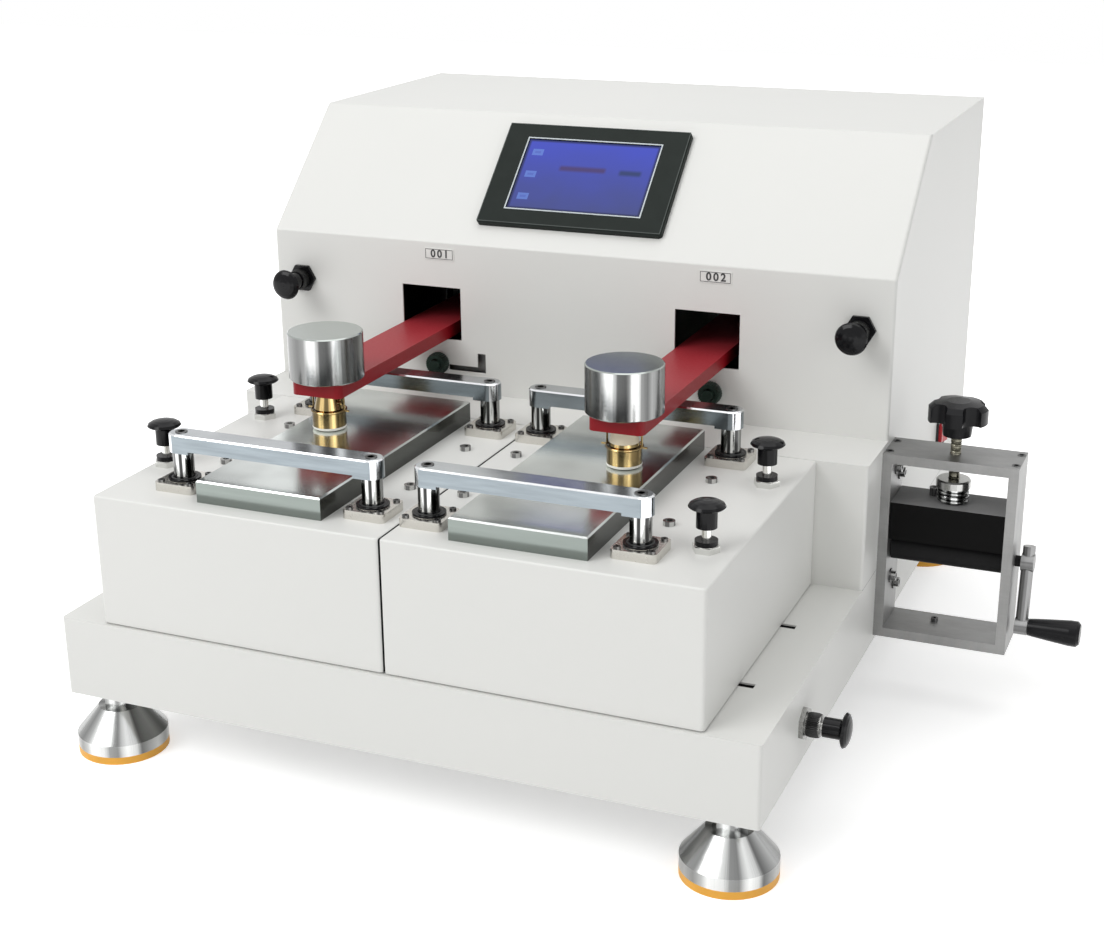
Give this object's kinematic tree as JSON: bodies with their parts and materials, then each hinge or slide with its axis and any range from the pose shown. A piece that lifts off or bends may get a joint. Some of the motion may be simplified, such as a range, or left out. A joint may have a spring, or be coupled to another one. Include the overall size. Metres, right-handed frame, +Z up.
{
  "type": "textile rubbing tester",
  "caption": "Bench rubbing tester for cloth with weighted arms over clamped specimen tables, a touch panel and a hand-cranked wringer",
  "frame": {"origin": "on the bench, under the middle of the whole machine's outline", "axes": "+X to the machine's right, seen from its front; +Y to the back; +Z up"},
  "size_m": [0.6768, 0.629, 0.402],
  "materials": {
    "powder_coat": "satin off-white powder coat",
    "red_paint": "semi-gloss red lacquer",
    "chrome_steel": "polished hard chrome",
    "mirror_steel": "mirror-polished plate",
    "turned_steel": "turned stainless steel",
    "bar_steel": "ground flat bar",
    "brass": "polished brass",
    "black_plastic": "moulded black knob",
    "black_steel": "blackened steel",
    "rubber": "ground black rubber",
    "pad_rubber": "yellow-orange moulded pad",
    "bezel_plastic": "fine-textured dark bezel",
    "screen_glass": "lit display behind a gloss window",
    "red_plastic": "gloss red rocker",
    "spring_steel": "drawn spring wire"
  },
  "bodies": {
    "frame": {"base_plinth": "powder_coat", "foot_bodies": "turned_steel", "foot_pads": "pad_rubber", "cabinet": "powder_coat", "hmi_bezel": "bezel_plastic", "hmi_screen": "screen_glass", "rear_panel": "powder_coat", "power_inlet": "black_plastic", "frame_sleeves": "black_steel", "guide_rods": "turned_steel", "slide_brackets": "bar_steel", "switch_frame": "black_plastic", "wringer_bottom_bar": "bar_steel", "wringer_top_bar": "bar_steel", "wringer_side_inner": "bar_steel", "wringer_side_outer": "bar_steel"},
    "stage_left": {"stage_box_left": "powder_coat", "specimen_table_left": "mirror_steel", "clamp_flanges_left": "chrome_steel", "stage_sleeves_left": "black_steel"},
    "clamp_left_front": {"clamp_bar_left_front": "chrome_steel", "clamp_posts_left_front": "chrome_steel"},
    "plunger_left_front_knob": {"plunger_left_front": "black_plastic"},
    "clamp_left_rear": {"clamp_bar_left_rear": "chrome_steel", "clamp_posts_left_rear": "chrome_steel"},
    "plunger_left_rear_knob": {"plunger_left_rear": "black_plastic"},
    "plunger_cabinet_left_knob": {"plunger_cabinet_left": "black_plastic"},
    "plunger_base_left_knob": {"plunger_base_left": "black_plastic"},
    "carriage_left_slide": {"carriage_left": "bar_steel"},
    "rubbing_arm_left": {"arm_left": "red_paint", "weight_left": "turned_steel", "finger_left": "brass", "cloth_clip_left": "turned_steel"},
    "stage_right": {"stage_box_right": "powder_coat", "specimen_table_right": "mirror_steel", "clamp_flanges_right": "chrome_steel", "stage_sleeves_right": "black_steel"},
    "clamp_right_front": {"clamp_bar_right_front": "chrome_steel", "clamp_posts_right_front": "chrome_steel"},
    "plunger_right_front_knob": {"plunger_right_front": "black_plastic"},
    "clamp_right_rear": {"clamp_bar_right_rear": "chrome_steel", "clamp_posts_right_rear": "chrome_steel"},
    "plunger_right_rear_knob": {"plunger_right_rear": "black_plastic"},
    "plunger_cabinet_right_knob": {"plunger_cabinet_right": "black_plastic"},
    "plunger_base_right_knob": {"plunger_base_right": "black_plastic"},
    "carriage_right_slide": {"carriage_right": "bar_steel"},
    "rubbing_arm_right": {"arm_right": "red_paint", "weight_right": "turned_steel", "finger_right": "brass", "cloth_clip_right": "turned_steel"},
    "rocker": {"switch_rocker": "red_plastic"},
    "lower_roller": {"roller_lower": "rubber", "crank_arm": "chrome_steel"},
    "grip": {"crank_grip": "black_plastic"},
    "press_plate": {"pressure_plate": "black_steel", "press_spring": "spring_steel"},
    "upper_roller": {"roller_upper": "rubber"},
    "press_cup": {"spring_cup": "chrome_steel"},
    "press_screw": {"pressure_screw": "chrome_steel", "star_knob": "black_plastic"}
  },
  "joints": [
    {"name": "stage_left_shift", "type": "slide", "parent": "frame", "child": "stage_left", "axis": [-1, 0, 0], "range_m": [0, 0.009]},
    {"name": "clamp_left_front_press", "type": "slide", "parent": "stage_left", "child": "clamp_left_front", "axis": [0, 0, -1], "range_m": [0, 0.012]},
    {"name": "plunger_left_front_pull", "type": "slide", "parent": "stage_left", "child": "plunger_left_front_knob", "axis": [0, 0, 1], "range_m": [0, 0.006], "stiffness_N_per_m": 800, "springref_m": -0.004},
    {"name": "clamp_left_rear_press", "type": "slide", "parent": "stage_left", "child": "clamp_left_rear", "axis": [0, 0, -1], "range_m": [0, 0.012]},
    {"name": "plunger_left_rear_pull", "type": "slide", "parent": "stage_left", "child": "plunger_left_rear_knob", "axis": [0, 0, 1], "range_m": [0, 0.006], "stiffness_N_per_m": 800, "springref_m": -0.004},
    {"name": "plunger_cabinet_left_pull", "type": "slide", "parent": "frame", "child": "plunger_cabinet_left_knob", "axis": [0, -1, 0], "range_m": [0, 0.006], "stiffness_N_per_m": 800, "springref_m": -0.004},
    {"name": "plunger_base_left_pull", "type": "slide", "parent": "frame", "child": "plunger_base_left_knob", "axis": [-1, 0, 0], "range_m": [0, 0.006], "stiffness_N_per_m": 800, "springref_m": -0.004},
    {"name": "stroke_left", "type": "slide", "parent": "frame", "child": "carriage_left_slide", "axis": [0, -1, 0], "range_m": [-0.036, 0.068]},
    {"name": "lift_left", "type": "hinge", "parent": "carriage_left_slide", "child": "rubbing_arm_left", "pos_m": [-0.1732, 0.114, 0.245], "axis": [-1, 0, 0], "range_deg": [0, 10]},
    {"name": "stage_right_shift", "type": "slide", "parent": "frame", "child": "stage_right", "axis": [1, 0, 0], "range_m": [0, 0.009]},
    {"name": "clamp_right_front_press", "type": "slide", "parent": "stage_right", "child": "clamp_right_front", "axis": [0, 0, -1], "range_m": [0, 0.012]},
    {"name": "plunger_right_front_pull", "type": "slide", "parent": "stage_right", "child": "plunger_right_front_knob", "axis": [0, 0, 1], "range_m": [0, 0.006], "stiffness_N_per_m": 800, "springref_m": -0.004},
    {"name": "clamp_right_rear_press", "type": "slide", "parent": "stage_right", "child": "clamp_right_rear", "axis": [0, 0, -1], "range_m": [0, 0.012]},
    {"name": "plunger_right_rear_pull", "type": "slide", "parent": "stage_right", "child": "plunger_right_rear_knob", "axis": [0, 0, 1], "range_m": [0, 0.006], "stiffness_N_per_m": 800, "springref_m": -0.004},
    {"name": "plunger_cabinet_right_pull", "type": "slide", "parent": "frame", "child": "plunger_cabinet_right_knob", "axis": [0, -1, 0], "range_m": [0, 0.006], "stiffness_N_per_m": 800, "springref_m": -0.004},
    {"name": "plunger_base_right_pull", "type": "slide", "parent": "frame", "child": "plunger_base_right_knob", "axis": [1, 0, 0], "range_m": [0, 0.006], "stiffness_N_per_m": 800, "springref_m": -0.004},
    {"name": "stroke_right", "type": "slide", "parent": "frame", "child": "carriage_right_slide", "axis": [0, -1, 0], "range_m": [-0.036, 0.068]},
    {"name": "lift_right", "type": "hinge", "parent": "carriage_right_slide", "child": "rubbing_arm_right", "pos_m": [0.0508, 0.114, 0.245], "axis": [-1, 0, 0], "range_deg": [0, 10]},
    {"name": "rocker_tip", "type": "hinge", "parent": "frame", "child": "rocker", "pos_m": [0.1939, 0.202, 0.142], "axis": [0, 0, 1], "range_deg": [-6, 6]},
    {"name": "crank_turn", "type": "hinge", "parent": "frame", "child": "lower_roller", "pos_m": [0.1934, 0.004, 0.1177], "axis": [1, 0, 0], "continuous": true},
    {"name": "grip_spin", "type": "hinge", "parent": "lower_roller", "child": "grip", "pos_m": [0.3084, -0.00335, 0.07128], "axis": [1, 0, 0], "continuous": true},
    {"name": "plate_lift", "type": "slide", "parent": "frame", "child": "press_plate", "axis": [0, 0, 1], "range_m": [0, 0.004]},
    {"name": "upper_roller_turn", "type": "hinge", "parent": "press_plate", "child": "upper_roller", "pos_m": [0.1934, 0.004, 0.1385], "axis": [1, 0, 0], "continuous": true},
    {"name": "cup_travel", "type": "slide", "parent": "frame", "child": "press_cup", "axis": [0, 0, -1], "range_m": [-0.006, 0.006], "deforming": ["press_spring"]},
    {"name": "knob_turn", "type": "hinge", "parent": "press_cup", "child": "press_screw", "pos_m": [0.24115, 0.004, 0.197], "axis": [0, 0, -1], "range_deg": [-1730, 1730]}
  ],
  "couplings": [
    {"joint": "stroke_right", "follows": "stroke_left", "ratio": 1},
    {"joint": "upper_roller_turn", "follows": "crank_turn", "ratio": -1},
    {"joint": "knob_turn", "follows": "cup_travel", "rad_per_m": 5026.5}
  ]
}
